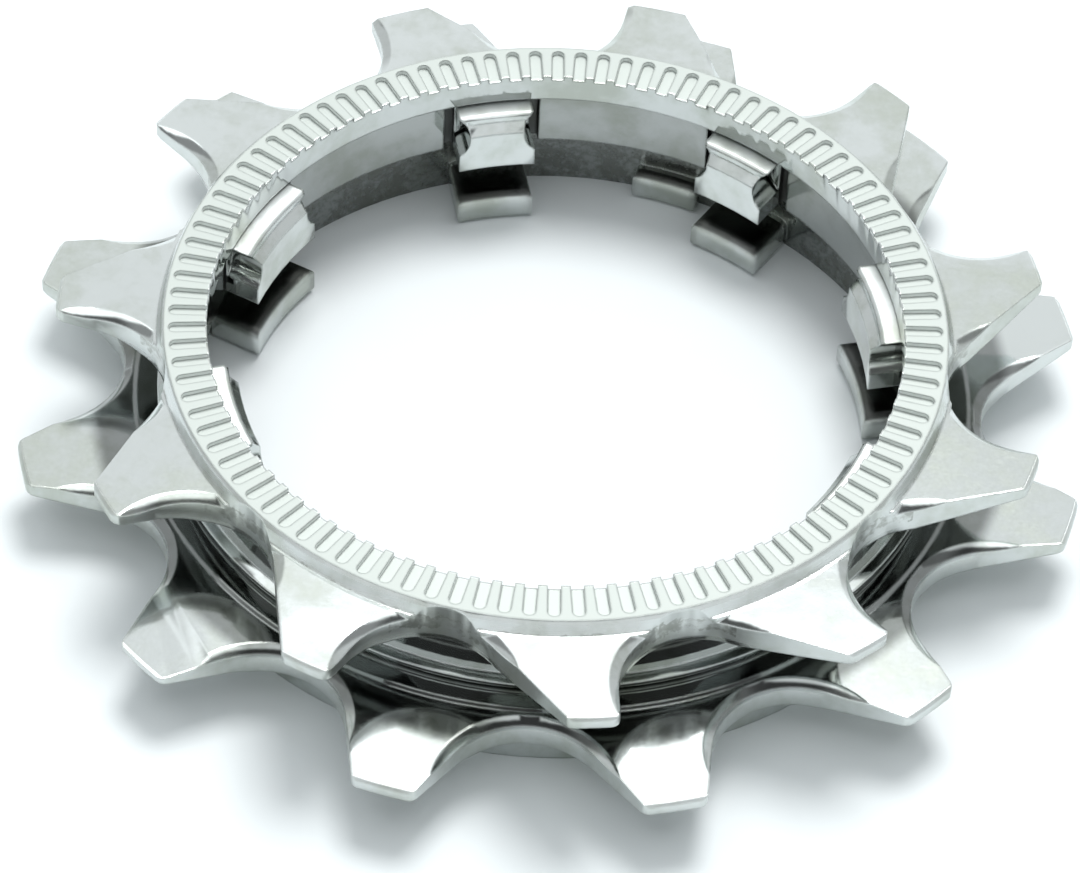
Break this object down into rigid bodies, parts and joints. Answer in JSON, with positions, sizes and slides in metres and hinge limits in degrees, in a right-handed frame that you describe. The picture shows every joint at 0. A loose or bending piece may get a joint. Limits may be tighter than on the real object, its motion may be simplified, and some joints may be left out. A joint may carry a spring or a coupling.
{
  "type": "cassette cog",
  "caption": "Small end of a bicycle cassette: stacked steel cogs on a shared spline, with a grooved lock face, a spacing collar and a boss.",
  "frame": {"origin": "centre of the rest face, on the axis of the bore", "axes": "+Z along the bore axis towards the grooved lock face, X and Y in the rest face"},
  "size_m": [0.0504, 0.0504, 0.0085],
  "materials": {
    "small_cog": "bright nickel plate over stamped steel",
    "large_cog": "bright nickel plate over stamped steel"
  },
  "bodies": {
    "root": {"small_cog": "small_cog", "large_cog": "large_cog"}
  },
  "joints": []
}
